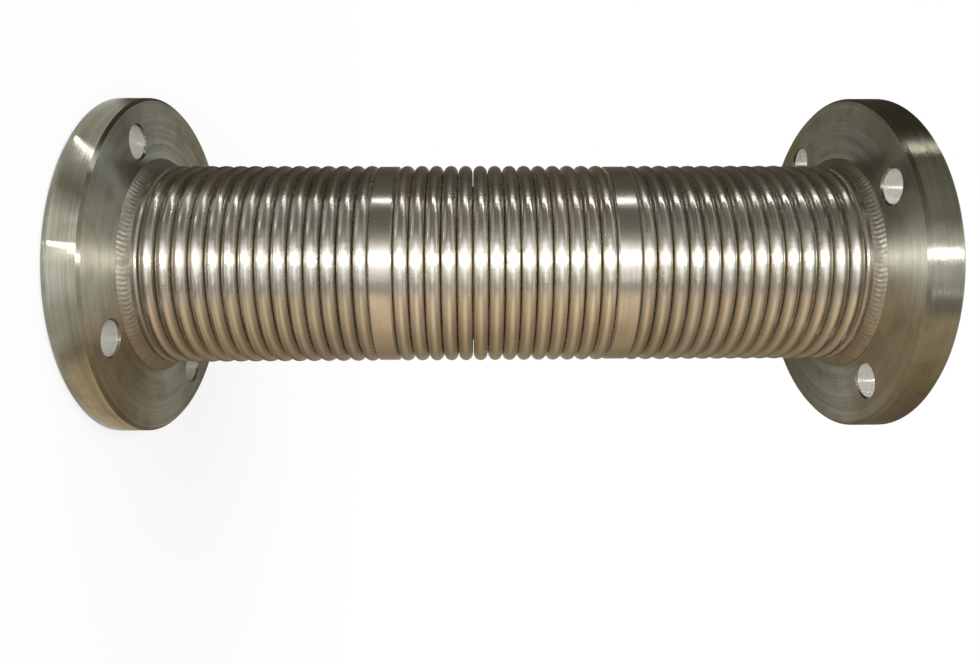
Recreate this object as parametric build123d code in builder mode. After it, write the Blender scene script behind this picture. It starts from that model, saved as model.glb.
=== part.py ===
from build123d import *
import os

# A stainless steel bellows hose for vacuum lines, standing on its lower flange.
# Three formed bellows sections are joined by two collars, and a short pipe in a
# drilled plate flange carries them at each end. All sizes are in millimetres.
# The hose axis is Z and the lower sealing face lies at z = 0.

# ---- pipe stubs: the nominal size of the hose ----
pipe_diameter = 88.9
pipe_wall = 2.0
pipe_fit = 0.1  # radial gap round the pipe, in the flange and in the bellows cuff
pipe_setback = 3.5  # from the sealing face to the end of the pipe
pipe_mouth_chamfer = 0.8

# ---- bellows sections ----
bellows_wall = 0.4
convolution_height = 12.05  # from the outside of a cuff to the top of a crest
convolution_pitch = 8.4
convolution_count = 14
crest_arc = 3.3  # outer radius of the curve over a crest
section_names = ["lower_bellows", "middle_bellows", "upper_bellows"]

# ---- end rings and collars: turned rings that sit over the bellows cuffs ----
ring_inset = 0.5  # the rings stand this much inside the crests
end_ring_width = 7.6
collar_width = 12.0
collar_names = ["lower_collar", "upper_collar"]
ring_edge_chamfer = 0.8
ring_mouth_chamfer = 1.2  # opens the bore where the bellows leaves it
cuff_fit = 0.1  # radial gap between a cuff and the ring over it
ring_gap = 0.9  # from a ring's side to the flank of the next convolution

# ---- plate flanges ----
flange_thickness = 18.0
bolt_reach = 18.5  # from the outside of the end ring to the bolt circle
rim_reach = 20.0  # from the bolt circle to the rim
flange_edge_chamfer = 1.5
bolt_hole_diameter = 18.0
bolt_hole_chamfer = 1.0
bolt_hole_count = 4
lower_bolt_angle = 45.0
flange_clocking = 30.0  # turn of the upper bolt pattern against the lower one

# ---- welds ----
flange_weld_leg = 4.8
flange_weld_crown = 0.5
cuff_weld_leg = 2.0
bore_weld_leg = 1.9
bore_weld_crown = 0.3
seam_weld_width = 1.6
seam_weld_crown = 0.4

# ---- radii that follow, from the pipe outwards ----
pipe_radius = pipe_diameter / 2
flange_bore_radius = pipe_radius + pipe_fit
cuff_inner_radius = pipe_radius + pipe_fit
cuff_outer_radius = cuff_inner_radius + bellows_wall
half_pitch = convolution_pitch / 2
root_centre_radius = cuff_outer_radius + half_pitch - crest_arc
crest_radius = cuff_outer_radius + convolution_height
crest_centre_radius = crest_radius - crest_arc
ring_bore_radius = cuff_outer_radius + cuff_fit
ring_radius = crest_radius - ring_inset
bolt_circle_radius = ring_radius + bolt_reach
flange_radius = bolt_circle_radius + rim_reach

# ---- heights that follow ----
crest_to_ring = crest_arc + ring_gap
crest_span = (convolution_count - 1) * convolution_pitch
collar_span = collar_width + 2 * crest_to_ring  # from crest to crest over a collar
section_step = crest_span + collar_span
first_crest = flange_thickness + end_ring_width + crest_to_ring
last_crest = first_crest + len(collar_names) * section_step + crest_span
hose_length = last_crest + crest_to_ring + end_ring_width + flange_thickness
collar_middles = [
    first_crest + crest_span + collar_span / 2 + step * section_step
    for step in range(len(collar_names))
]


def wall_side(arc, crests, bottom, top):
    """Draw one side of the bellows wall, from its bottom to its top.

    arc is the radius over a crest on this side of the sheet. A root takes
    the rest of half a pitch, which keeps the flanks parallel.
    """
    root = half_pitch - arc
    root_radius = root_centre_radius - root
    diagonal = root / 2**0.5
    foot = crests[0] - half_pitch
    head = crests[-1] + half_pitch
    Line((root_radius, bottom), (root_radius, foot))
    ThreePointArc(
        (root_radius, foot),
        (root_centre_radius - diagonal, foot + diagonal),
        (root_centre_radius, foot + root),
    )
    for crest in crests:
        Line((root_centre_radius, crest - arc), (crest_centre_radius, crest - arc))
        ThreePointArc(
            (crest_centre_radius, crest - arc),
            (crest_centre_radius + arc, crest),
            (crest_centre_radius, crest + arc),
        )
        Line((crest_centre_radius, crest + arc), (root_centre_radius, crest + arc))
    for crest in crests[:-1]:
        ThreePointArc(
            (root_centre_radius, crest + arc),
            (root_radius, crest + half_pitch),
            (root_centre_radius, crest + half_pitch + root),
        )
    ThreePointArc(
        (root_centre_radius, head - root),
        (root_centre_radius - diagonal, head - diagonal),
        (root_radius, head),
    )
    Line((root_radius, head), (root_radius, top))


def crowned_bead(first_toe, corner, second_toe, crown):
    """Draw a weld bead that fills a corner, with a face that bulges by crown."""
    corner = Vector(*corner)
    first_toe = Vector(*first_toe)
    second_toe = Vector(*second_toe)
    middle = (first_toe + second_toe) / 2
    bulge = (middle - corner).normalized() * crown
    Polyline(first_toe, corner, second_toe)
    ThreePointArc(second_toe, middle + bulge, first_toe)


os.makedirs("parts", exist_ok=True)

# ---- the two ends, each drawn from its sealing face towards the middle of the hose ----
ends = {
    "lower": (0.0, 1, lower_bolt_angle),
    "upper": (hose_length, -1, lower_bolt_angle + flange_clocking),
}
for end, (sealing_face, inward, bolt_angle) in ends.items():
    inner_face = sealing_face + inward * flange_thickness
    ring_face = inner_face + inward * end_ring_width
    pipe_start = sealing_face + inward * pipe_setback
    cuff_end = inner_face + inward * cuff_weld_leg

    with BuildPart() as flange:
        with BuildSketch(Plane.XY.offset(min(sealing_face, inner_face))):
            Circle(flange_radius)
            Circle(flange_bore_radius, mode=Mode.SUBTRACT)
            with PolarLocations(bolt_circle_radius, bolt_hole_count, start_angle=bolt_angle):
                Circle(bolt_hole_diameter / 2, mode=Mode.SUBTRACT)
        extrude(amount=flange_thickness)
        circles = flange.edges().filter_by(GeomType.CIRCLE)
        rim_edges = circles.filter_by(lambda edge: edge.radius > bolt_circle_radius)
        hole_edges = circles.filter_by(lambda edge: edge.radius < flange_bore_radius - 1)
        chamfer(rim_edges, flange_edge_chamfer)
        chamfer(hole_edges, bolt_hole_chamfer)
    flange.part.label = f"{end}_flange"
    export_step(flange.part, f"parts/{end}_flange.step")

    # The pipe stub runs from the bore weld to the mouth of the bellows.
    with BuildPart() as pipe_stub:
        with BuildSketch(Plane.XY.offset(min(pipe_start, ring_face))):
            Circle(pipe_radius)
            Circle(pipe_radius - pipe_wall, mode=Mode.SUBTRACT)
        extrude(amount=abs(ring_face - pipe_start))
        mouth = pipe_stub.faces().sort_by(Axis.Z)[-1 if inward > 0 else 0]
        mouth_edge = mouth.edges().sort_by(SortBy.RADIUS)[0]
        chamfer(mouth_edge, pipe_mouth_chamfer)
    pipe_stub.part.label = f"{end}_pipe_stub"
    export_step(pipe_stub.part, f"parts/{end}_pipe_stub.step")

    # The end ring holds the cuff on the pipe. Its flange side is bevelled inside
    # for the cuff weld and left square outside for the flange weld.
    with BuildPart() as end_ring:
        with BuildSketch(Plane.XZ):
            with BuildLine():
                Polyline(
                    (ring_bore_radius, cuff_end),
                    (ring_bore_radius + cuff_weld_leg, inner_face),
                    (ring_radius, inner_face),
                    (ring_radius, ring_face - inward * ring_edge_chamfer),
                    (ring_radius - ring_edge_chamfer, ring_face),
                    (ring_bore_radius + ring_mouth_chamfer, ring_face),
                    (ring_bore_radius, ring_face - inward * ring_mouth_chamfer),
                    close=True,
                )
            make_face()
        revolve(axis=Axis.Z)
    end_ring.part.label = f"{end}_end_ring"
    export_step(end_ring.part, f"parts/{end}_end_ring.step")

    # The cuff weld fuses the end of the cuff to the pipe and to the ring's bevel.
    with BuildPart() as cuff_weld:
        with BuildSketch(Plane.XZ):
            with BuildLine():
                Polyline(
                    (pipe_radius, inner_face),
                    (ring_bore_radius + cuff_weld_leg, inner_face),
                    (ring_bore_radius, cuff_end),
                    (pipe_radius, cuff_end),
                    close=True,
                )
            make_face()
        revolve(axis=Axis.Z)
    cuff_weld.part.label = f"{end}_cuff_weld"
    export_step(cuff_weld.part, f"parts/{end}_cuff_weld.step")

    # The flange weld is the fillet between the end ring and the flange's inner face.
    with BuildPart() as flange_weld:
        with BuildSketch(Plane.XZ):
            with BuildLine():
                crowned_bead(
                    (ring_radius + flange_weld_leg, inner_face),
                    (ring_radius, inner_face),
                    (ring_radius, inner_face + inward * flange_weld_leg),
                    flange_weld_crown,
                )
            make_face()
        revolve(axis=Axis.Z)
    flange_weld.part.label = f"{end}_flange_weld"
    export_step(flange_weld.part, f"parts/{end}_flange_weld.step")

    # The bore weld seals the end of the pipe to the flange, below the sealing face.
    with BuildPart() as bore_weld:
        with BuildSketch(Plane.XZ):
            with BuildLine():
                crowned_bead(
                    (flange_bore_radius, pipe_start - inward * bore_weld_leg),
                    (flange_bore_radius, pipe_start),
                    (flange_bore_radius - bore_weld_leg, pipe_start),
                    bore_weld_crown,
                )
            make_face()
        revolve(axis=Axis.Z)
    bore_weld.part.label = f"{end}_bore_weld"
    export_step(bore_weld.part, f"parts/{end}_bore_weld.step")

# ---- the collars, each with the seam weld that joins two cuffs in its bore ----
for name, middle in zip(collar_names, collar_middles):
    bottom = middle - collar_width / 2
    top = middle + collar_width / 2

    with BuildPart() as collar:
        with BuildSketch(Plane.XZ):
            with BuildLine():
                Polyline(
                    (ring_bore_radius, bottom + ring_mouth_chamfer),
                    (ring_bore_radius + ring_mouth_chamfer, bottom),
                    (ring_radius - ring_edge_chamfer, bottom),
                    (ring_radius, bottom + ring_edge_chamfer),
                    (ring_radius, top - ring_edge_chamfer),
                    (ring_radius - ring_edge_chamfer, top),
                    (ring_bore_radius + ring_mouth_chamfer, top),
                    (ring_bore_radius, top - ring_mouth_chamfer),
                    close=True,
                )
            make_face()
        revolve(axis=Axis.Z)
    collar.part.label = name
    export_step(collar.part, f"parts/{name}.step")

    with BuildPart() as seam_weld:
        with BuildSketch(Plane.XZ):
            with BuildLine():
                seam_bottom = middle - seam_weld_width / 2
                seam_top = middle + seam_weld_width / 2
                Polyline(
                    (cuff_inner_radius, seam_bottom),
                    (ring_bore_radius, seam_bottom),
                    (ring_bore_radius, seam_top),
                    (cuff_inner_radius, seam_top),
                )
                ThreePointArc(
                    (cuff_inner_radius, seam_top),
                    (cuff_inner_radius - seam_weld_crown, middle),
                    (cuff_inner_radius, seam_bottom),
                )
            make_face()
        revolve(axis=Axis.Z)
    seam_weld.part.label = f"{name}_seam_weld"
    export_step(seam_weld.part, f"parts/{name}_seam_weld.step")

# ---- the bellows sections, each one thin wall with a cuff at both ends ----
cuff_stops = [flange_thickness + cuff_weld_leg]
for middle in collar_middles:
    cuff_stops += [middle - seam_weld_width / 2, middle + seam_weld_width / 2]
cuff_stops += [hose_length - flange_thickness - cuff_weld_leg]

for index, name in enumerate(section_names):
    bottom, top = cuff_stops[2 * index : 2 * index + 2]
    section_start = first_crest + index * section_step
    crests = [section_start + turn * convolution_pitch for turn in range(convolution_count)]

    with BuildPart() as bellows:
        with BuildSketch(Plane.XZ):
            with BuildLine():
                wall_side(crest_arc, crests, bottom, top)
                wall_side(crest_arc - bellows_wall, crests, bottom, top)
                for cuff_edge in (bottom, top):
                    Line((cuff_inner_radius, cuff_edge), (cuff_outer_radius, cuff_edge))
            make_face()
        revolve(axis=Axis.Z)
    bellows.part.label = name
    export_step(bellows.part, f"parts/{name}.step")
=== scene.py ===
"""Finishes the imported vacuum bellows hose: formed steel sections, turned flanges and rings, welds, and the stage."""

import math

import bpy
import numpy as np
from mathutils import Matrix, Vector


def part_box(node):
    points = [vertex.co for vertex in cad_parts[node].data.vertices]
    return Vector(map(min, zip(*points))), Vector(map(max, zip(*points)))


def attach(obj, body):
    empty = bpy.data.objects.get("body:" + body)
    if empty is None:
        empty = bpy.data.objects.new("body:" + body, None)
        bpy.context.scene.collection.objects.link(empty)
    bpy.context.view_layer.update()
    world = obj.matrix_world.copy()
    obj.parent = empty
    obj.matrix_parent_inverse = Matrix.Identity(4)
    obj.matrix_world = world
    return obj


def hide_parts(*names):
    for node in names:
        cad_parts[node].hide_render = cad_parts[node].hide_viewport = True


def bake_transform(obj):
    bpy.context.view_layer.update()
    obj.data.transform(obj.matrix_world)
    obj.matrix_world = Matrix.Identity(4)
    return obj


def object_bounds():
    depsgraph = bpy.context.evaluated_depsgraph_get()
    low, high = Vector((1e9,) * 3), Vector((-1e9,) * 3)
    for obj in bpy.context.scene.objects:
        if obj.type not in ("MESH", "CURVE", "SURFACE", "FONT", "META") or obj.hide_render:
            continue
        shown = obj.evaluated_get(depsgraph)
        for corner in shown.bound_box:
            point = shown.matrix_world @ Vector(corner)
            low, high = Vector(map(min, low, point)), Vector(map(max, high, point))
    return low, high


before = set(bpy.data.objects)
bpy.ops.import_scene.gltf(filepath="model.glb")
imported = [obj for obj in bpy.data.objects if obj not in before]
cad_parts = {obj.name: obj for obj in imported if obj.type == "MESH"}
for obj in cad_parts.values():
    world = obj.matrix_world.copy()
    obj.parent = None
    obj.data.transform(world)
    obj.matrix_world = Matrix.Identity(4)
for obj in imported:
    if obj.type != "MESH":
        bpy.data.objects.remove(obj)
cad_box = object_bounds()

bl_info = {
    "name": "Vacuum Bellows Hose",
    "version": (1, 0, 0),
    "blender": (4, 5, 0),
    "location": "3D View > Sidebar > Bellows Hose",
    "description": "Builds the hose's bellows sections, finishes its steel and sets its stage",
    "category": "Object",
}

HOSE_LENGTH = cad_box[1].z - cad_box[0].z
CREST_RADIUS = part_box("middle_bellows")[1].x

# Each section with the bodies that its two cuffs ride on, and the painted light level of its sheet: painted light that
# makes the middle section brighter than the two beside it.
SECTIONS = (
    ("lower", "lower_end", "lower_middle", 0.92),
    ("middle", "lower_middle", "upper_middle", 1.07),
    ("upper", "upper_middle", "upper_end", 0.92),
)
MERGE_DISTANCE = 1e-6

# The stage, in metres. The tent's floor cloth comes in to the foot of the lower flange.
TENT_RADIUS, TENT_HEIGHT, TENT_FOOT = 1.5, 3.0, 0.0965
CLOTH_LIFT, RIBBON_LIFT = 0.002, 0.003
RIBBON_REACH = 0.9
SENSOR_WIDTH = 36.0  # millimetres


class HoseSizes(bpy.types.PropertyGroup):
    """Sizes of the formed sheet that the CAD model doesn't name."""

    crest_count: bpy.props.IntProperty(
        name="Crests", description="Convolutions in each bellows section", default=14, min=2, max=40)
    pitch: bpy.props.FloatProperty(
        name="Pitch", description="Distance from one crest to the next", default=0.0084, unit="LENGTH", precision=5)
    crest_arc: bpy.props.FloatProperty(
        name="Crest arc", description="Outside radius of the sheet over a crest",
        default=0.0040, unit="LENGTH", precision=5)
    convolution_height: bpy.props.FloatProperty(
        name="Convolution height", description="Height of a crest above the cuff",
        default=0.01205, unit="LENGTH", precision=5)
    sheet_thickness: bpy.props.FloatProperty(
        name="Sheet", description="Wall thickness of the bellows", default=0.0004, unit="LENGTH", precision=5)
    flange_cuff: bpy.props.FloatProperty(
        name="Flange cuff", description="From the cuff's end to the first crest, beside a flange",
        default=0.0098, unit="LENGTH", precision=5)
    collar_cuff: bpy.props.FloatProperty(
        name="Collar cuff", description="From the cuff's end to the first crest, beside a collar",
        default=0.0094, unit="LENGTH", precision=5)
    forming_wobble: bpy.props.FloatProperty(
        name="Forming wobble", description="How far the forming leaves a crest off its true place",
        default=0.00008, unit="LENGTH", precision=5)


class HoseFinish(bpy.types.PropertyGroup):
    """Colours of the steel surfaces."""

    sheet_colour: bpy.props.FloatVectorProperty(
        name="Sheet", description="Bright formed sheet on the crests", subtype="COLOR", size=3, min=0, max=1,
        default=(0.58, 0.56, 0.52))
    # Painted light: a light colour for the roots and the collars' sides, where shade falls.
    painted_root_colour: bpy.props.FloatVectorProperty(
        name="Roots", description="Dulled sheet deep between two crests", subtype="COLOR", size=3, min=0, max=1,
        default=(0.66, 0.57, 0.46))
    flange_colour: bpy.props.FloatVectorProperty(
        name="Flange", description="Turned plate", subtype="COLOR", size=3, min=0, max=1,
        default=(0.61, 0.612, 0.53))
    ring_colour: bpy.props.FloatVectorProperty(
        name="Rings", description="Fine turned end rings and collars", subtype="COLOR", size=3, min=0, max=1,
        default=(0.60, 0.585, 0.54))
    pipe_colour: bpy.props.FloatVectorProperty(
        name="Pipe", description="Drawn tube", subtype="COLOR", size=3, min=0, max=1,
        default=(0.55, 0.53, 0.50))
    weld_colour: bpy.props.FloatVectorProperty(
        name="Welds", description="Cleaned weld metal", subtype="COLOR", size=3, min=0, max=1,
        default=(0.38, 0.37, 0.32))
    heat_colour: bpy.props.FloatVectorProperty(
        name="Heat tint", description="Straw tint beside the welds", subtype="COLOR", size=3, min=0, max=1,
        default=(0.32, 0.27, 0.20))


class StudioSettings(bpy.types.PropertyGroup):
    """Camera and light."""

    view_azimuth: bpy.props.FloatProperty(
        name="View azimuth", description="Side of the hose that faces the camera",
        default=math.radians(17), unit="ROTATION")
    distance: bpy.props.FloatProperty(
        name="Distance", description="From the hose's axis to the camera", default=0.42585, unit="LENGTH")
    rise: bpy.props.FloatProperty(
        name="Rise", description="Camera's offset across the hose", default=0.00969, unit="LENGTH")
    slide: bpy.props.FloatProperty(
        name="Slide", description="Camera's offset along the hose", default=-0.01541, unit="LENGTH")
    tilt: bpy.props.FloatProperty(
        name="Tilt", description="Turn across the hose",
        default=math.radians(1.07), unit="ROTATION")
    swing: bpy.props.FloatProperty(
        name="Swing", description="Turn along the hose",
        default=math.radians(1.152), unit="ROTATION")
    roll: bpy.props.FloatProperty(
        name="Roll", description="Turn about the line of sight",
        default=math.radians(0.158), unit="ROTATION")
    focal_widths: bpy.props.FloatProperty(name="Focal length", description="In widths of the frame", default=0.73469)
    frame_shift: bpy.props.FloatProperty(name="Frame shift", description="In widths of the frame", default=0.0735)
    lamp_power: bpy.props.FloatProperty(name="Lamps", description="Level of all lamps", default=1.0, min=0)


# ---------------------------------------------------------------- modelling helpers

def start_fresh():
    """Leave edit mode and deselect everything."""
    if bpy.context.object and bpy.context.object.mode != "OBJECT":
        bpy.ops.object.mode_set(mode="OBJECT")
    bpy.ops.object.select_all(action="DESELECT")


def extrude_ring(height, radius, new_height, new_radius):
    """Extrude the selected ring of edges to a new height and radius about the hose's axis."""
    bpy.ops.mesh.extrude_edges_move(TRANSFORM_OT_translate={"value": (0, 0, new_height - height)})
    if abs(new_radius - radius) > 1e-9:
        scale = new_radius / radius
        bpy.ops.transform.resize(value=(scale, scale, 1), center_override=(0, 0, new_height))


def lathe_open(name, profile, segments):
    """Draw a wall about the hose's axis from a circle, one ring at a time. profile holds (radius, height)."""
    start_fresh()
    radius, height = profile[0]
    bpy.ops.mesh.primitive_circle_add(vertices=segments, radius=radius, location=(0, 0, height), fill_type="NOTHING")
    wall = bpy.context.object
    wall.name = name
    bpy.ops.object.transform_apply(location=True, rotation=True, scale=True)
    bpy.ops.object.mode_set(mode="EDIT")
    bpy.ops.mesh.select_all(action="SELECT")
    for new_radius, new_height in profile[1:]:
        extrude_ring(height, radius, new_height, new_radius)
        radius, height = new_radius, new_height
    bpy.ops.object.mode_set(mode="OBJECT")
    return wall


def select_height(wall, height, tolerance=1e-5):
    """Select the vertices at one height."""
    bpy.ops.object.mode_set(mode="EDIT")
    bpy.ops.mesh.select_all(action="DESELECT")
    bpy.ops.mesh.select_mode(type="VERT")
    bpy.ops.object.mode_set(mode="OBJECT")
    for vertex in wall.data.vertices:
        vertex.select = abs(vertex.co.z - height) < tolerance
    bpy.ops.object.mode_set(mode="EDIT")
    bpy.ops.mesh.select_mode(type="EDGE")


def face_outwards(wall):
    """Make the faces of an open wall point away from the hose's axis."""
    bpy.ops.object.mode_set(mode="EDIT")
    bpy.ops.mesh.select_all(action="SELECT")
    bpy.ops.mesh.normals_make_consistent(inside=False)
    bpy.ops.object.mode_set(mode="OBJECT")
    lean = sum(face.normal.x * face.center.x + face.normal.y * face.center.y for face in wall.data.polygons)
    if lean < 0:
        bpy.ops.object.mode_set(mode="EDIT")
        bpy.ops.mesh.select_all(action="SELECT")
        bpy.ops.mesh.flip_normals()
        bpy.ops.object.mode_set(mode="OBJECT")


def apply_modifier(obj, kind, **settings):
    """Add a modifier, set it and apply it."""
    modifier = obj.modifiers.new(kind.title(), kind)
    for name, value in settings.items():
        setattr(modifier, name, value)
    bpy.context.view_layer.objects.active = obj
    bpy.ops.object.modifier_apply(modifier=modifier.name)


def keep_rest_place(obj):
    """Keep each point's place at rest in an attribute, so that the finish moves with the sheet."""
    places = np.zeros(len(obj.data.vertices) * 3, np.float32)
    obj.data.vertices.foreach_get("co", places)
    attribute = obj.data.attributes.new("rest_place", "FLOAT_VECTOR", "POINT")
    attribute.data.foreach_set("vector", places)


# ---------------------------------------------------------------- material helpers

class Finish:
    """A steel material and the tools to wire it."""

    def __init__(self, name, roughness, anisotropic=0.0):
        self.material = bpy.data.materials.new(name)
        self.material.use_nodes = True
        self.nodes = self.material.node_tree.nodes
        self.links = self.material.node_tree.links
        self.shader = self.nodes["Principled BSDF"]
        self.shader.inputs["Metallic"].default_value = 1.0
        self.shader.inputs["Roughness"].default_value = roughness
        self.shader.inputs["Anisotropic"].default_value = anisotropic
        if anisotropic:
            # The grooves run round the hose, so the gloss spreads across them.
            self.shader.inputs["Anisotropic Rotation"].default_value = 0.25
            tangent = self.nodes.new("ShaderNodeTangent")
            tangent.direction_type = "RADIAL"
            tangent.axis = "Z"
            self.links.new(tangent.outputs[0], self.shader.inputs["Tangent"])

    def node(self, kind, inputs=(), **settings):
        made = self.nodes.new("ShaderNode" + kind)
        for name, value in settings.items():
            setattr(made, name, value)
        for key, value in dict(inputs).items():
            if isinstance(value, bpy.types.NodeSocket):
                self.links.new(value, made.inputs[key])
            else:
                made.inputs[key].default_value = value
        return made

    def maths(self, operation, first, second=0.0):
        return self.node("Math", {0: first, 1: second}, operation=operation).outputs[0]

    def span(self, value, start, end, low=0.0, high=1.0):
        """Spread a value between start and end over low to high, and hold it beyond them."""
        return self.node("MapRange", {
            "Value": value, "From Min": start, "From Max": end, "To Min": low, "To Max": high}).outputs[0]

    def tinted(self, tone, tint):
        """A tone seen through a tint."""
        return self.mix(1.0, tone, tint, "MULTIPLY")

    def turned_side(self):
        """Mask of the surface that faces along the hose's axis, and how far each point does."""
        level = self.node("SeparateXYZ", {0: self.node("TexCoord").outputs["Normal"]}).outputs["Z"]
        along = self.maths("ABSOLUTE", level)
        return self.maths("GREATER_THAN", along, 0.9), along

    def glow(self, colour, strength):
        """Make the whole surface a plain light."""
        self.nodes.remove(self.shader)
        lit = self.node("Emission", {"Color": colour, "Strength": strength})
        self.links.new(lit.outputs[0], self.nodes["Material Output"].inputs["Surface"])

    def place(self, rest=False):
        """Where a point lies, and its distance from the hose's axis."""
        if rest:
            where = self.node("Attribute", attribute_name="rest_place").outputs["Vector"]
        else:
            where = self.node("TexCoord").outputs["Object"]
        flat = self.node("VectorMath", {0: where, 1: (1, 1, 0)}, operation="MULTIPLY").outputs[0]
        reach = self.node("VectorMath", {0: flat}, operation="LENGTH").outputs["Value"]
        return where, reach

    def lathe_marks(self, where, reach, fine, across=14.0):
        """Noise drawn out round the hose's axis: rings on a face, lines round a rim."""
        split = self.node("SeparateXYZ", {0: where})
        step = self.maths("ADD", reach, split.outputs["Z"])
        drawn = self.node("CombineXYZ", {
            "X": self.maths("MULTIPLY", split.outputs["X"], across),
            "Y": self.maths("MULTIPLY", split.outputs["Y"], across),
            "Z": self.maths("MULTIPLY", step, fine)})
        return self.node("TexNoise", {
            "Vector": drawn.outputs[0], "Scale": 1.0, "Detail": 3.0, "Roughness": 0.6}).outputs[0]

    def clouds(self, where, scale, detail=3.0, stretch=(1, 1, 1)):
        mapped = self.node("Mapping", {"Vector": where, "Scale": stretch}).outputs[0]
        return self.node("TexNoise", {"Vector": mapped, "Scale": scale, "Detail": detail}).outputs[0]

    def ramp(self, value, *stops):
        made = self.node("ValToRGB", {"Fac": value})
        elements = made.color_ramp.elements
        while len(elements) < len(stops):
            elements.new(0.5)
        for element, (place, colour) in zip(elements, stops):
            element.position = place
            element.color = (*colour, 1.0) if hasattr(colour, "__len__") else (colour, colour, colour, 1.0)
        return made.outputs["Color"]

    def mix(self, factor, first, second, blend="MIX"):
        made = self.node("Mix", data_type="RGBA", blend_type=blend)
        for socket, value in ((made.inputs["Factor"], factor), (made.inputs[6], first), (made.inputs[7], second)):
            if isinstance(value, bpy.types.NodeSocket):
                self.links.new(value, socket)
            elif hasattr(value, "__len__"):
                socket.default_value = (*value, 1.0)
            else:
                socket.default_value = value
        return made.outputs[2]

    def bump(self, height, distance, strength=1.0, normal=None):
        inputs = {"Height": height, "Distance": distance, "Strength": strength}
        if normal is not None:
            inputs["Normal"] = normal
        return self.node("Bump", inputs).outputs[0]

    def wire(self, **sockets):
        for name, socket in sockets.items():
            self.links.new(socket, self.shader.inputs[name.replace("_", " ")])


def darker(colour, share):
    return tuple(part * share for part in colour)


def formed_sheet(finish, section, painted_section_light):
    """Bright sheet: polished crests, roots and flanks painted lighter and duller as painted light, faint forming lines
    round each convolution.
    """
    made = Finish(f"{section}_formed_sheet", 0.26, 0.35)
    where, reach = made.place(rest=True)
    lines = made.lathe_marks(where, reach, 900.0)
    stains = made.clouds(where, 38.0, 4.0, (1, 1, 0.6))
    depth = made.span(reach, CREST_RADIUS - 0.012, CREST_RADIUS - 0.0005)
    # The sheet and root colours are scaled by the section's painted light level.
    sheet, root = darker(finish.sheet_colour, painted_section_light), darker(finish.painted_root_colour, painted_section_light)
    # Painted light: roots and flanks are coloured lighter, brightest on the flanks, to lift the shade between the
    # crests.
    painted_root_light = made.ramp(depth, (0.0, root), (0.5, root), (0.75, darker((0.72, 0.68, 0.60), painted_section_light)), (0.95, sheet))
    toned = made.mix(made.ramp(stains, (0.35, 0.0), (0.7, 0.55)), painted_root_light,
                     made.tinted(painted_root_light, (0.86, 0.80, 0.70)))
    lined = made.mix(made.ramp(lines, (0.3, 0.0), (0.75, 0.35)), toned,
                     made.tinted(toned, (0.80, 0.79, 0.77)))
    gloss = made.span(made.clouds(where, 60.0, 3.0), 0.3, 0.7, 0.20, 0.34)
    dents = made.clouds(where, 170.0, 2.0, (1, 1, 0.5))
    # The roots and flanks are painted lighter and made less metallic: painted light that lifts the shade between the
    # crests, partly a dull skin. There they scatter light, where the crests only reflect it.
    metal_share = made.span(depth, 0.15, 0.85, 0.25, 1.0)
    made.wire(Base_Color=lined, Roughness=gloss, Metallic=metal_share,
              Normal=made.bump(lines, 0.00002, 0.6, made.bump(dents, 0.00035, 0.35)))
    return made.material


def turned_plate(finish):
    """Turned flange: rings on its faces, lines round its rim, handling marks and a faint stain."""
    made = Finish("turned_plate", 0.45, 0.97)
    where, reach = made.place()
    fine = made.lathe_marks(where, reach, 2600.0)
    coarse = made.lathe_marks(where, reach, 420.0, 9.0)
    stains = made.clouds(where, 22.0, 5.0)
    blotches = made.clouds(where, 70.0, 4.0, (1, 1, 1))
    base = tuple(finish.flange_colour)
    tone = made.mix(made.ramp(stains, (0.38, 0.0), (0.66, 0.75)), base,
                    (base[0] * 0.74, base[1] * 0.68, base[2] * 0.58))
    tone = made.mix(made.ramp(blotches, (0.5, 0.0), (0.68, 0.5)), tone, made.tinted(tone, (0.62, 0.60, 0.62)))
    tone = made.mix(made.ramp(coarse, (0.3, 0.0), (0.7, 0.6)), tone, made.tinted(tone, (0.70, 0.70, 0.69)))
    tone = made.mix(made.ramp(fine, (0.42, 0.0), (0.7, 0.5)), tone, made.tinted(tone, (0.62, 0.61, 0.59)))
    # The faces are painted darker than the rim, a painted shade. They are also faced off coarser than the rim, so
    # their gloss is duller.
    face, along = made.turned_side()
    tone = made.mix(face, made.tinted(tone, (0.56, 0.56, 0.54)), tone)
    skim = made.span(coarse, 0.3, 0.7, 0.20, 0.30)
    gloss = made.maths("ADD", skim, made.maths("MULTIPLY", face, 0.24))
    # The bolt hole walls are painted bright and made less metallic: a painted light, as if light came through the
    # holes.
    bored = made.maths("MULTIPLY", made.maths("GREATER_THAN", reach, 0.06), made.maths("LESS_THAN", reach, 0.09))
    painted_hole_light = made.maths("MULTIPLY", made.maths("LESS_THAN", along, 0.3), bored)
    tone = made.mix(painted_hole_light, tone, made.mix(fine, (0.66, 0.65, 0.60), (0.82, 0.81, 0.76)))
    metal_share = made.maths("SUBTRACT", 1.0, made.maths("MULTIPLY", painted_hole_light, 0.6))
    scratches = made.clouds(where, 420.0, 2.0, (1, 0.08, 0.3))
    made.wire(Base_Color=tone, Roughness=gloss, Metallic=metal_share,
              Normal=made.bump(fine, 0.00003, 0.8, made.bump(scratches, 0.00003, 0.4)))
    return made.material


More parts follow.
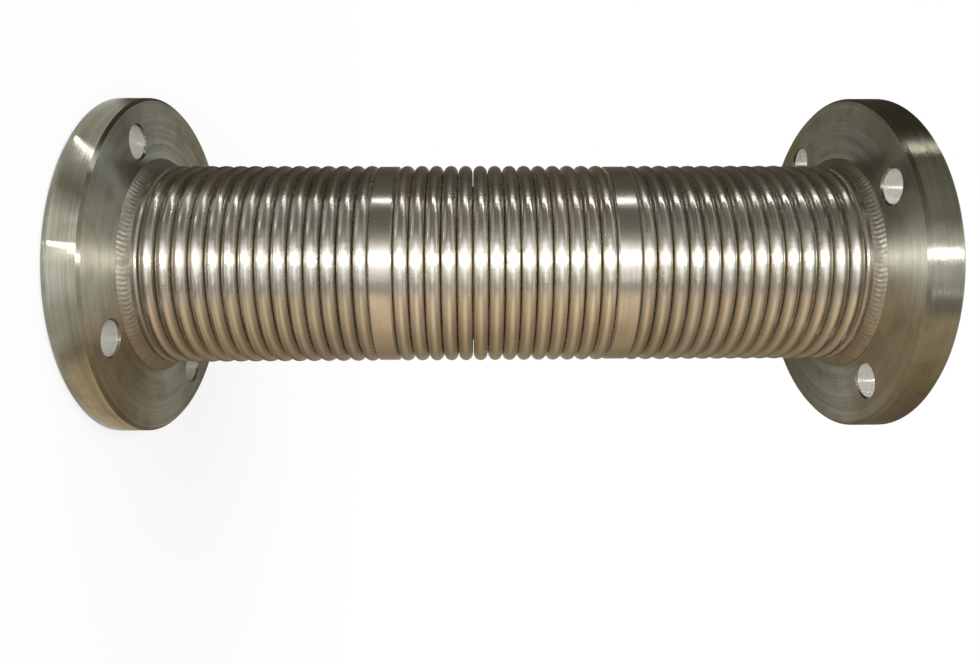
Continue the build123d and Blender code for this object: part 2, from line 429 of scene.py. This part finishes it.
def turned_ring(finish):
    """Fine turned ring with a soft sheen and patches of straw tint."""
    made = Finish("turned_ring", 0.24, 0.5)
    where, reach = made.place()
    fine = made.lathe_marks(where, reach, 3400.0)
    stains = made.clouds(where, 30.0, 4.0)
    base = tuple(finish.ring_colour)
    tone = made.mix(made.ramp(stains, (0.35, 0.0), (0.7, 0.6)), base, tuple(finish.heat_colour))
    tone = made.mix(made.ramp(fine, (0.4, 0.0), (0.72, 0.45)), tone, made.tinted(tone, (0.72, 0.71, 0.69)))
    gloss = made.span(stains, 0.3, 0.7, 0.18, 0.32)
    # The sides that face a crest get the painted root colour and less metal: painted light that lifts the shade beside
    # the crests, partly a dull skin.
    side, _ = made.turned_side()
    tone = made.mix(side, tone, tuple(finish.painted_root_colour))
    metal_share = made.maths("SUBTRACT", 1.0, made.maths("MULTIPLY", side, 0.7))
    made.wire(Base_Color=tone, Roughness=gloss, Metallic=metal_share, Normal=made.bump(fine, 0.000018, 0.7))
    return made.material


def drawn_tube(finish):
    """Pipe drawn through a die: long faint lines along it."""
    made = Finish("drawn_tube", 0.38)
    where, _ = made.place()
    lines = made.clouds(where, 600.0, 3.0, (1, 1, 0.02))
    stains = made.clouds(where, 40.0, 4.0)
    base = tuple(finish.pipe_colour)
    tone = made.mix(made.ramp(stains, (0.35, 0.0), (0.7, 0.7)), base, darker(base, 0.72))
    tone = made.mix(made.ramp(lines, (0.4, 0.0), (0.7, 0.5)), tone, made.tinted(tone, (0.76, 0.75, 0.72)))
    made.wire(Base_Color=tone, Normal=made.bump(lines, 0.00003, 0.7))
    return made.material


def weld_metal(finish):
    """Weld bead: pooled metal with straw heat tint and a duller skin."""
    made = Finish("weld_metal", 0.33)
    where, _ = made.place()
    pools = made.clouds(where, 300.0, 2.0)
    tint = made.clouds(where, 55.0, 4.0)
    base, straw = tuple(finish.weld_colour), tuple(finish.heat_colour)
    tone = made.mix(made.ramp(tint, (0.36, 0.0), (0.66, 0.8)), base, straw)
    tone = made.mix(made.ramp(pools, (0.45, 0.0), (0.75, 0.6)), tone, made.tinted(tone, (0.62, 0.60, 0.58)))
    gloss = made.span(pools, 0.3, 0.7, 0.34, 0.52)
    made.wire(Base_Color=tone, Roughness=gloss, Normal=made.bump(pools, 0.00012, 0.4))
    return made.material


def dress(names, material):
    """Give CAD nodes a material."""
    for name in names:
        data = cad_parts[name].data
        data.materials.clear()
        data.materials.append(material)


# ---------------------------------------------------------------- pieces

class HOSE_OT_bellows(bpy.types.Operator):
    """Model the three bellows sections as formed sheet"""

    bl_idname = "hose.bellows"
    bl_label = "Bellows sections"

    segments: bpy.props.IntProperty(name="Segments", description="Faces round the hose", default=128, min=16)
    arc_steps: bpy.props.IntProperty(name="Arc steps", description="Faces over a crest", default=10, min=4)

    def convolution(self, sizes, middle):
        """Outside of one convolution, from the middle of a root to the middle of the next."""
        crest, root = sizes.crest_arc, sizes.pitch / 2 - sizes.crest_arc
        root_radius = CREST_RADIUS - sizes.convolution_height
        quarter = max(2, self.arc_steps // 3)
        half = sizes.pitch / 2
        profile = []
        for step in range(quarter + 1):
            turn = math.pi / 2 * step / quarter
            profile.append((root_radius + root * (1 - math.cos(turn)), middle - half + root * math.sin(turn)))
        for step in range(self.arc_steps + 1):
            turn = math.pi * step / self.arc_steps
            profile.append((CREST_RADIUS - crest * (1 - math.sin(turn)), middle - crest * math.cos(turn)))
        for step in range(quarter, -1, -1):
            turn = math.pi / 2 * step / quarter
            profile.append((root_radius + root * (1 - math.cos(turn)), middle + half - root * math.sin(turn)))
        return profile

    def execute(self, context):
        sizes = context.scene.hose_sizes
        for section, start_body, end_body, painted_section_light in SECTIONS:
            node = f"{section}_bellows"
            bottom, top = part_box(node)[0].z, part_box(node)[1].z
            cuff = sizes.flange_cuff if section == "lower" else sizes.collar_cuff
            first = bottom + cuff
            last = first + (sizes.crest_count - 1) * sizes.pitch
            wall = lathe_open(f"{section}_bellows_sheet", self.convolution(sizes, first), self.segments)
            apply_modifier(wall, "ARRAY", count=sizes.crest_count, use_relative_offset=False,
                           use_constant_offset=True, constant_offset_displace=(0, 0, sizes.pitch),
                           use_merge_vertices=True, merge_threshold=MERGE_DISTANCE)
            for edge, end in ((first - sizes.pitch / 2, bottom), (last + sizes.pitch / 2, top)):
                select_height(wall, edge)
                for _ in range(2):
                    bpy.ops.mesh.extrude_edges_move(TRANSFORM_OT_translate={"value": (0, 0, (end - edge) * 0.5)})
                bpy.ops.object.mode_set(mode="OBJECT")
            face_outwards(wall)
            self.wobble(wall, sizes, first)
            apply_modifier(wall, "SOLIDIFY", thickness=sizes.sheet_thickness, offset=-1.0)
            bpy.ops.object.select_all(action="DESELECT")
            wall.select_set(True)
            bpy.ops.object.shade_smooth_by_angle(angle=math.radians(50))
            wall.data.materials.append(formed_sheet(context.scene.hose_finish, section, painted_section_light))
            keep_rest_place(wall)
            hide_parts(node)
            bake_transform(wall)
        return {"FINISHED"}

    def wobble(self, wall, sizes, first):
        """Leave each crest a little off its true place, as forming does, and the cuffs true."""
        size = sizes.forming_wobble
        for vertex in wall.data.vertices:
            x, y, z = vertex.co
            reach = math.hypot(x, y)
            above_cuff = reach - CREST_RADIUS + sizes.convolution_height
            lift = min(max(above_cuff / sizes.convolution_height, 0.0), 1.0)
            turn = round((z - first) / sizes.pitch)
            if lift <= 0.0:
                continue
            angle = math.atan2(y, x)
            lean = math.sin(turn * 2.4 + 0.7) * math.cos(angle - turn * 1.9)
            ripple = math.sin(3 * angle + turn * 1.3) * 0.35
            vertex.co.z += size * lift * (lean + ripple)
            sink = size * 0.5 * lift * (0.5 + 0.5 * math.sin(2 * angle + turn * 2.1))
            vertex.co.x -= x / reach * sink
            vertex.co.y -= y / reach * sink


class HOSE_OT_flanges(bpy.types.Operator):
    """Finish the two flanges as turned plate"""

    bl_idname = "hose.flanges"
    bl_label = "Flanges"

    def execute(self, context):
        dress(["lower_flange", "upper_flange"], turned_plate(context.scene.hose_finish))
        return {"FINISHED"}


class HOSE_OT_rings(bpy.types.Operator):
    """Finish the end rings and collars as fine turned steel"""

    bl_idname = "hose.rings"
    bl_label = "End rings and collars"

    def execute(self, context):
        dress(["lower_end_ring", "upper_end_ring", "lower_collar", "upper_collar"],
              turned_ring(context.scene.hose_finish))
        return {"FINISHED"}


class HOSE_OT_pipes(bpy.types.Operator):
    """Finish the pipe stubs as drawn tube"""

    bl_idname = "hose.pipes"
    bl_label = "Pipe stubs"

    def execute(self, context):
        dress(["lower_pipe_stub", "upper_pipe_stub"], drawn_tube(context.scene.hose_finish))
        return {"FINISHED"}


class HOSE_OT_welds(bpy.types.Operator):
    """Model the rippled fillet welds between flanges and end rings, and finish the other beads"""

    bl_idname = "hose.welds"
    bl_label = "Welds"

    ripples: bpy.props.IntProperty(
        name="Ripples", description="Freezing lines round a fillet weld",
        default=140, min=20)
    ripple_depth: bpy.props.FloatProperty(
        name="Ripple depth", description="How deep the lines lie", default=0.00028, unit="LENGTH", precision=5)
    crown: bpy.props.FloatProperty(
        name="Crown", description="Bulge of the fillet's face", default=0.0005, unit="LENGTH", precision=5)

    def execute(self, context):
        material = weld_metal(context.scene.hose_finish)
        for end, ring_edge in (("lower", 1), ("upper", 0)):
            self.fillet(end, ring_edge, material)
        fillets = ("lower_flange_weld", "upper_flange_weld")
        dress([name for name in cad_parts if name.endswith("weld") and name not in fillets], material)
        return {"FINISHED"}

    def fillet(self, end, ring_edge, material):
        """One bead: its face from the flange up to the ring, then its two hidden sides."""
        node = f"{end}_flange_weld"
        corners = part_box(node)
        toe_radius = corners[1].x
        ring_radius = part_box(f"{end}_end_ring")[1].x
        ring_height, plate_height = corners[ring_edge].z, corners[1 - ring_edge].z
        face_rows, phases = 6, 6  # rows of faces up the bead, lines of vertices in a ripple
        face = []
        for step in range(face_rows + 1):
            share = step / face_rows
            bulge = self.crown * math.sin(math.pi * share) * math.sqrt(0.5)
            face.append((toe_radius + (ring_radius - toe_radius) * share + bulge,
                         plate_height + (ring_height - plate_height) * share
                         + math.copysign(bulge, ring_height - plate_height)))
        profile = face + [(ring_radius, plate_height), face[0]]
        segments = self.ripples * phases
        bead = lathe_open(f"{end}_fillet_weld", profile, segments)
        bpy.ops.object.mode_set(mode="EDIT")
        bpy.ops.mesh.select_all(action="SELECT")
        bpy.ops.mesh.remove_doubles(threshold=MERGE_DISTANCE)
        bpy.ops.object.mode_set(mode="OBJECT")
        face_outwards(bead)
        for phase in range(1, phases):
            sink = self.ripple_depth * (0.5 - 0.5 * math.cos(2 * math.pi * phase / phases))
            self.press(bead, face[1:-1], segments, phases, phase, 1 - sink / toe_radius)
        bpy.ops.object.select_all(action="DESELECT")
        bead.select_set(True)
        bpy.ops.object.shade_smooth_by_angle(angle=math.radians(40))
        bead.data.materials.append(material)
        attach(bead, f"{end}_end")
        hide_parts(node)

    def press(self, bead, rows, segments, phases, phase, scale):
        """Press one line of every ripple towards the axis. The lines curve back along the run."""
        bpy.ops.object.mode_set(mode="EDIT")
        bpy.ops.mesh.select_mode(type="VERT")
        bpy.ops.mesh.select_all(action="DESELECT")
        bpy.ops.object.mode_set(mode="OBJECT")
        heights = [height for _, height in rows]
        for vertex in bead.data.vertices:
            row = min(range(len(heights)), key=lambda each: abs(heights[each] - vertex.co.z))
            if abs(heights[row] - vertex.co.z) > MERGE_DISTANCE:
                continue
            turn = round(math.atan2(vertex.co.y, vertex.co.x) / (2 * math.pi) * segments)
            bend = (row - (len(rows) - 1) / 2) ** 2 / 2
            vertex.select = (turn + round(bend)) % phases == phase
        bpy.ops.object.mode_set(mode="EDIT")
        bpy.ops.transform.resize(value=(scale, scale, 1), center_override=(0, 0, 0))
        bpy.ops.object.mode_set(mode="OBJECT")


# ---------------------------------------------------------------- stage

class HOSE_OT_stage(bpy.types.Operator):
    """Set the floor, backdrop, reflectors, lamps and camera"""

    bl_idname = "hose.stage"
    bl_label = "Stage"

    def execute(self, context):
        studio = context.scene.hose_studio
        turn = studio.view_azimuth
        towards = Vector((math.sin(turn), -math.cos(turn), 0))
        across = towards.cross(Vector((0, 0, 1)))
        middle = Vector((0, 0, HOSE_LENGTH / 2))
        self.camera(context, studio, towards, across, middle)
        self.floor()
        self.world(context)
        self.reflectors(towards, across)
        self.lamps(studio, towards, across)
        return {"FINISHED"}

    def camera(self, context, studio, towards, across, middle):
        data = bpy.data.cameras.new("camera")
        camera = bpy.data.objects.new("camera", data)
        context.scene.collection.objects.link(camera)
        data.sensor_width = SENSOR_WIDTH
        data.lens = SENSOR_WIDTH * studio.focal_widths
        data.shift_y = -studio.frame_shift
        data.clip_start, data.clip_end = 0.01, 50.0
        along = Vector((0, 0, 1))
        basis = Matrix((along, across, towards)).transposed()
        aim = (Matrix.Rotation(-studio.swing, 3, "Y") @ Matrix.Rotation(-studio.tilt, 3, "X")
               @ Matrix.Rotation(-studio.roll, 3, "Z"))
        place = middle + along * studio.slide + across * studio.rise + towards * studio.distance
        camera.matrix_world = Matrix.Translation(place) @ (basis @ aim).to_4x4()
        context.scene.camera = camera

    def floor(self):
        start_fresh()
        bpy.ops.mesh.primitive_circle_add(vertices=96, radius=6.0, fill_type="NGON", location=(0, 0, 0))
        floor = bpy.context.object
        floor.name = "studio_floor"
        bpy.ops.object.mode_set(mode="EDIT")
        bpy.ops.mesh.select_all(action="SELECT")
        bpy.ops.mesh.inset(thickness=1.0, depth=0.0)
        bpy.ops.object.mode_set(mode="OBJECT")
        made = Finish("studio_floor", 0.9)
        made.shader.inputs["Metallic"].default_value = 0.0
        made.shader.inputs["Base Color"].default_value = (0.92, 0.92, 0.92, 1.0)
        made.shader.inputs["Specular IOR Level"].default_value = 0.0
        path = made.node("LightPath")
        seen = made.maths("MAXIMUM", path.outputs["Is Camera Ray"],
                          made.maths("MAXIMUM", path.outputs["Is Glossy Ray"], path.outputs["Is Transmission Ray"]))
        white = made.node("Emission", {"Color": (1, 1, 1, 1), "Strength": 1.0})
        _, reach = made.place()
        # The floor shows the hose's shadow near its foot and fades to plain white further out.
        away = made.span(reach, 0.15, 0.9, 0.80, 1.0)
        share = made.maths("MULTIPLY", seen, away)
        mixed = made.node("MixShader", {0: share, 1: made.shader.outputs[0], 2: white.outputs[0]})
        output = made.nodes["Material Output"]
        made.links.new(mixed.outputs[0], output.inputs["Surface"])
        floor.data.materials.append(made.material)

    def world(self, context):
        world = bpy.data.worlds.new("studio")
        world.use_nodes = True
        nodes, links = world.node_tree.nodes, world.node_tree.links
        nodes.clear()
        path = nodes.new("ShaderNodeLightPath")
        either = nodes.new("ShaderNodeMath")
        either.operation = "MAXIMUM"
        links.new(path.outputs["Is Glossy Ray"], either.inputs[0])
        links.new(path.outputs["Is Transmission Ray"], either.inputs[1])
        seen = nodes.new("ShaderNodeMath")
        seen.operation = "MAXIMUM"
        links.new(path.outputs["Is Camera Ray"], seen.inputs[0])
        links.new(either.outputs[0], seen.inputs[1])
        fill, white = nodes.new("ShaderNodeBackground"), nodes.new("ShaderNodeBackground")
        fill.inputs["Color"].default_value = (1, 1, 1, 1)
        fill.inputs["Strength"].default_value = 0.55
        white.inputs["Color"].default_value = (1, 1, 1, 1)
        white.inputs["Strength"].default_value = 1.0
        mixed = nodes.new("ShaderNodeMixShader")
        links.new(seen.outputs[0], mixed.inputs[0])
        links.new(fill.outputs[0], mixed.inputs[1])
        links.new(white.outputs[0], mixed.inputs[2])
        output = nodes.new("ShaderNodeOutputWorld")
        links.new(mixed.outputs[0], output.inputs["Surface"])
        context.scene.world = world

    def reflectors(self, towards, across):
        """A round tent of toned cloth that only the gloss of the steel sees."""
        start_fresh()
        bpy.ops.mesh.primitive_cylinder_add(
            vertices=96, radius=TENT_RADIUS, depth=TENT_HEIGHT, end_fill_type="NOTHING",
            location=(0, 0, TENT_HEIGHT / 2 + CLOTH_LIFT))
        tent = bpy.context.object
        tent.name = "studio_tent"
        bpy.ops.object.transform_apply(location=True, rotation=True, scale=True)
        select_height(tent, CLOTH_LIFT, 1e-4)
        bpy.ops.mesh.extrude_edges_move(TRANSFORM_OT_translate={"value": (0, 0, 0)})
        scale = TENT_FOOT / TENT_RADIUS
        bpy.ops.transform.resize(value=(scale, scale, 1), center_override=(0, 0, CLOTH_LIFT))
        bpy.ops.object.mode_set(mode="OBJECT")
        made = Finish("tent_cloth", 1.0)
        where, reach = made.place()
        front = made.node("VectorMath", {0: where, 1: tuple(towards)}, operation="DOT_PRODUCT").outputs["Value"]
        side = made.node("VectorMath", {0: where, 1: tuple(across)}, operation="DOT_PRODUCT").outputs["Value"]
        angle = made.maths("ARCTAN2", side, front)
        share = made.maths("ADD", made.maths("DIVIDE", angle, 2 * math.pi), 0.5)
        # Tone of the cloth round the hose, in degrees from the camera's side towards the top of the frame.
        tones = (
            (-180, (0.28, 0.28, 0.235)), (-160, (0.20, 0.18, 0.14)), (-130, (0.20, 0.15, 0.10)),
            (-90, (0.34, 0.255, 0.165)), (-62, (0.56, 0.44, 0.30)), (-36, (0.66, 0.54, 0.40)),
            (-28, (0.26, 0.245, 0.20)), (-17, (0.28, 0.27, 0.235)), (-10, (0.90, 0.90, 0.88)),
            (17, (1.0, 1.0, 0.99)), (26, (0.29, 0.285, 0.24)), (40, (0.12, 0.12, 0.10)), (68, (0.08, 0.075, 0.06)),
            (84, (0.09, 0.08, 0.06)), (130, (0.06, 0.053, 0.04)), (158, (0.09, 0.085, 0.07)),
            (180, (0.28, 0.28, 0.235)),
        )
        tone = made.ramp(share, *[((place + 180) / 360, colour) for place, colour in tones])
        # Far above and below the hose two sides of the cloth turn to an even grey. Level with its middle the cloth
        # is brightest.
        height = made.maths("SUBTRACT", made.node("SeparateXYZ", {0: where}).outputs["Z"], HOSE_LENGTH / 2)
        slope = made.maths("ABSOLUTE", made.maths("DIVIDE", height, reach))
        evened = made.ramp(share, (0.42, 0.0), (0.44, 1.0), (0.465, 1.0), (0.485, 0.0),
                           (0.58, 0.0), (0.60, 1.0), (0.70, 1.0), (0.73, 0.0))
        lift = made.span(slope, 0.45, 0.9, high=0.8)
        tone = made.mix(made.maths("MULTIPLY", evened, lift), tone, (0.55, 0.54, 0.47))
        level = made.span(slope, 0.1, 0.5, 1.85, 1.08)
        # Close round the foot the cloth lies in more light.
        foot = made.span(reach, 0.12, 0.15, 1.6, 1.0)
        level = made.maths("MULTIPLY", level, foot)
        made.glow(tone, level)
        made.material.cycles.emission_sampling = "NONE"
        tent.data.materials.append(made.material)
        tent.visible_camera = False
        tent.visible_diffuse = False
        tent.visible_shadow = False
        tent.visible_transmission = False

    def lamps(self, studio, towards, across):
        """Tube lamps that stand along the hose, and a soft overhead lamp for the floor."""
        far, low, bend = RIBBON_REACH, RIBBON_LIFT, 0.6
        upright = [(far, low), (far, 0.95)]
        foot = [(TENT_FOOT, low), (0.135, low)]
        arch = [(0.135, low), (far, low), (far, bend)]
        arch += [(far * math.cos(math.radians(turn)), bend + far * math.sin(math.radians(turn)))
                 for turn in range(10, 125, 8)]
        # Name, place round the hose and half width in degrees, level, path.
        tubes = (
            ("front_tube", 6.5, 1.3, 20.0, arch),
            ("front_foot", 7.4, 0.55, 18.0, foot),
            ("glow_foot", 14.0, 4.5, 1.7, foot),
            ("top_tube", 75.0, 1.2, 11.0, upright),
            ("top_foot", 43.0, 1.0, 9.0, foot),
            ("low_tube", -17.0, 0.8, 3.0, upright),
            ("rear_tube", 176.0, 4.0, 1.4, upright),
        )
        for name, angle, spread, level, path in tubes:
            self.tube(name, towards, across, math.radians(angle), math.radians(spread),
                      level * studio.lamp_power, path)
        data = bpy.data.lights.new("overhead_lamp", "AREA")
        data.shape, data.size = "DISK", 1.2
        data.energy = 24.0 * studio.lamp_power
        lamp = bpy.data.objects.new("overhead_lamp", data)
        bpy.context.scene.collection.objects.link(lamp)
        lamp.location = towards * 0.5 + across * 0.4 + Vector((0, 0, 1.9))
        lamp.rotation_euler = (Vector((0, 0, 0.2)) - lamp.location).to_track_quat("-Z", "Y").to_euler()
        lamp.visible_glossy = False

    def tube(self, name, towards, across, angle, spread, level, path):
        """A lit ribbon that runs through the points (reach, height) of path. Its width follows its reach."""
        direction = towards * math.cos(angle) + across * math.sin(angle)
        side = direction.cross(Vector((0, 0, 1)))
        start_fresh()
        bpy.ops.mesh.primitive_plane_add(size=1.0, location=(0, 0, 0))
        ribbon = bpy.context.object
        ribbon.name = name
        bpy.ops.object.mode_set(mode="EDIT")
        bpy.ops.mesh.select_all(action="SELECT")
        bpy.ops.mesh.delete(type="ONLY_FACE")
        bpy.ops.mesh.select_mode(type="VERT")
        bpy.ops.object.mode_set(mode="OBJECT")
        for vertex in ribbon.data.vertices:
            vertex.select = vertex.co.y > 0
        bpy.ops.object.mode_set(mode="EDIT")
        bpy.ops.mesh.delete(type="VERT")
        bpy.ops.mesh.select_all(action="SELECT")
        bpy.ops.mesh.select_mode(type="EDGE")
        bpy.ops.transform.translate(value=(0, 0.5, 0))
        width, reach, height = 1.0, 0.0, 0.0
        for step, (new_reach, new_height) in enumerate(path):
            if step:
                bpy.ops.mesh.extrude_edges_move(TRANSFORM_OT_translate={"value": (0, 0, 0)})
            bpy.ops.transform.translate(value=(0, new_reach - reach, new_height - height))
            new_width = 2 * new_reach * math.tan(spread)
            bpy.ops.transform.resize(value=(new_width / width, 1, 1), center_override=(0, new_reach, new_height))
            width, reach, height = new_width, new_reach, new_height
        bpy.ops.object.mode_set(mode="OBJECT")
        ribbon.matrix_world = Matrix((side, direction, Vector((0, 0, 1)))).transposed().to_4x4()
        bpy.ops.object.transform_apply(location=True, rotation=True, scale=True)
        made = Finish(name, 1.0)
        made.glow((1, 1, 1, 1), level)
        ribbon.data.materials.append(made.material)
        ribbon.visible_camera = False
        ribbon.visible_diffuse = False
        ribbon.visible_shadow = False


class HOSE_PT_panel(bpy.types.Panel):
    """Sidebar panel with the hose's pieces and sizes"""

    bl_label = "Bellows Hose"
    bl_idname = "HOSE_PT_panel"
    bl_space_type = "VIEW_3D"
    bl_region_type = "UI"
    bl_category = "Bellows Hose"

    def draw(self, context):
        layout = self.layout
        for group in (context.scene.hose_sizes, context.scene.hose_finish, context.scene.hose_studio):
            box = layout.box()
            for name in group.__annotations__:
                box.prop(group, name)
        for operator in OPERATORS:
            layout.operator(operator.bl_idname)


OPERATORS = (HOSE_OT_bellows, HOSE_OT_flanges, HOSE_OT_rings, HOSE_OT_pipes, HOSE_OT_welds, HOSE_OT_stage)
GROUPS = (HoseSizes, HoseFinish, StudioSettings)


def register():
    for group in (*GROUPS, *OPERATORS, HOSE_PT_panel):
        bpy.utils.register_class(group)
    bpy.types.Scene.hose_sizes = bpy.props.PointerProperty(type=HoseSizes)
    bpy.types.Scene.hose_finish = bpy.props.PointerProperty(type=HoseFinish)
    bpy.types.Scene.hose_studio = bpy.props.PointerProperty(type=StudioSettings)


def unregister():
    del bpy.types.Scene.hose_studio, bpy.types.Scene.hose_finish, bpy.types.Scene.hose_sizes
    for group in reversed((*GROUPS, *OPERATORS, HOSE_PT_panel)):
        bpy.utils.unregister_class(group)


def main():
    register()
    bpy.context.scene.view_settings.view_transform = "Standard"
    bpy.ops.hose.bellows()
    bpy.ops.hose.flanges()
    bpy.ops.hose.rings()
    bpy.ops.hose.pipes()
    bpy.ops.hose.welds()
    bpy.ops.hose.stage()


if __name__ == "__main__":
    main()
